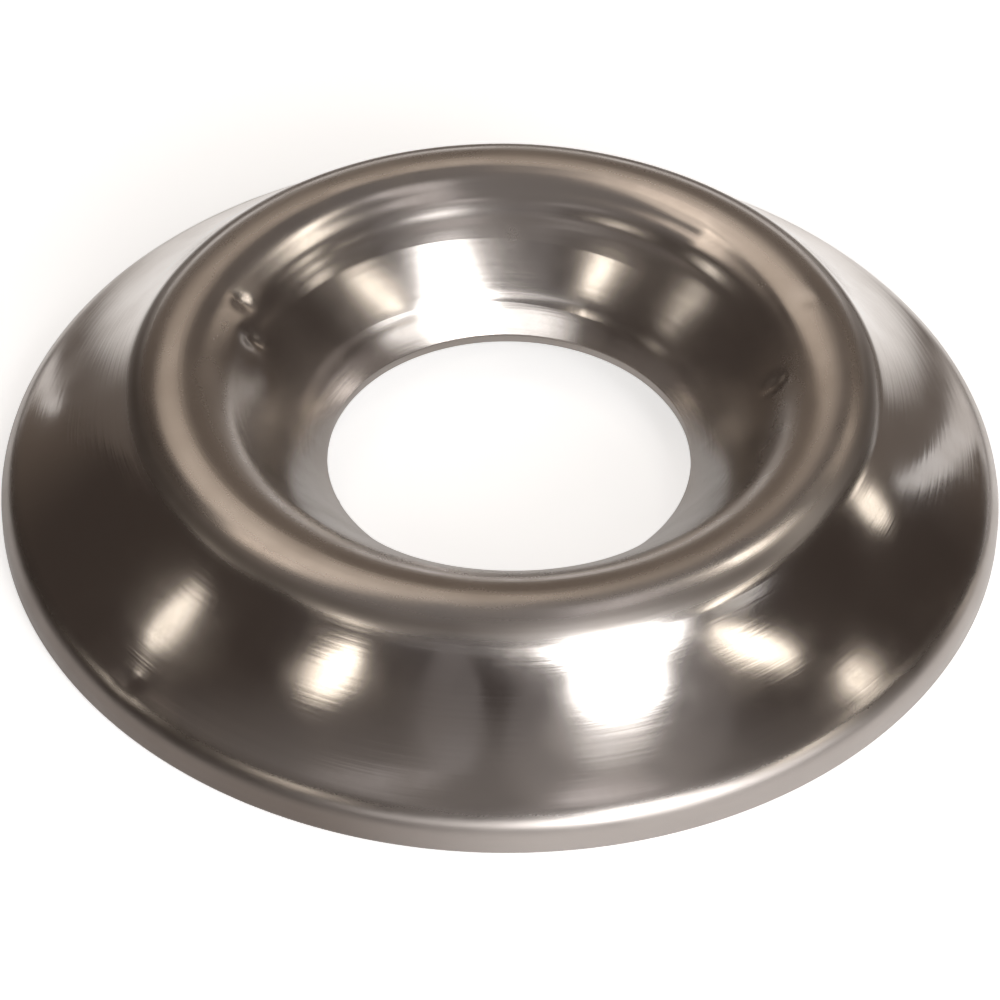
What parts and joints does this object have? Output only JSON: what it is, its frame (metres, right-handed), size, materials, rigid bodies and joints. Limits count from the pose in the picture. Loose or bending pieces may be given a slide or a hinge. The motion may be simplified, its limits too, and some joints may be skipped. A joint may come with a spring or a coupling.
{
  "type": "finishing cup washer",
  "caption": "Polished pressed-metal finishing cup washer with a flared skirt, a rounded crest and a countersunk cup.",
  "frame": {"origin": "centre of the rim's foot ring, on the screw axis, at the surface that the washer sits on", "axes": "+Z along the screw axis, from the seat up to the crest, the way the screw is drawn out"},
  "size_m": [0.0142, 0.0142, 0.0024],
  "materials": {
    "polished_steel": "polished"
  },
  "bodies": {
    "root": {"cup_washer": "polished_steel"}
  },
  "joints": []
}
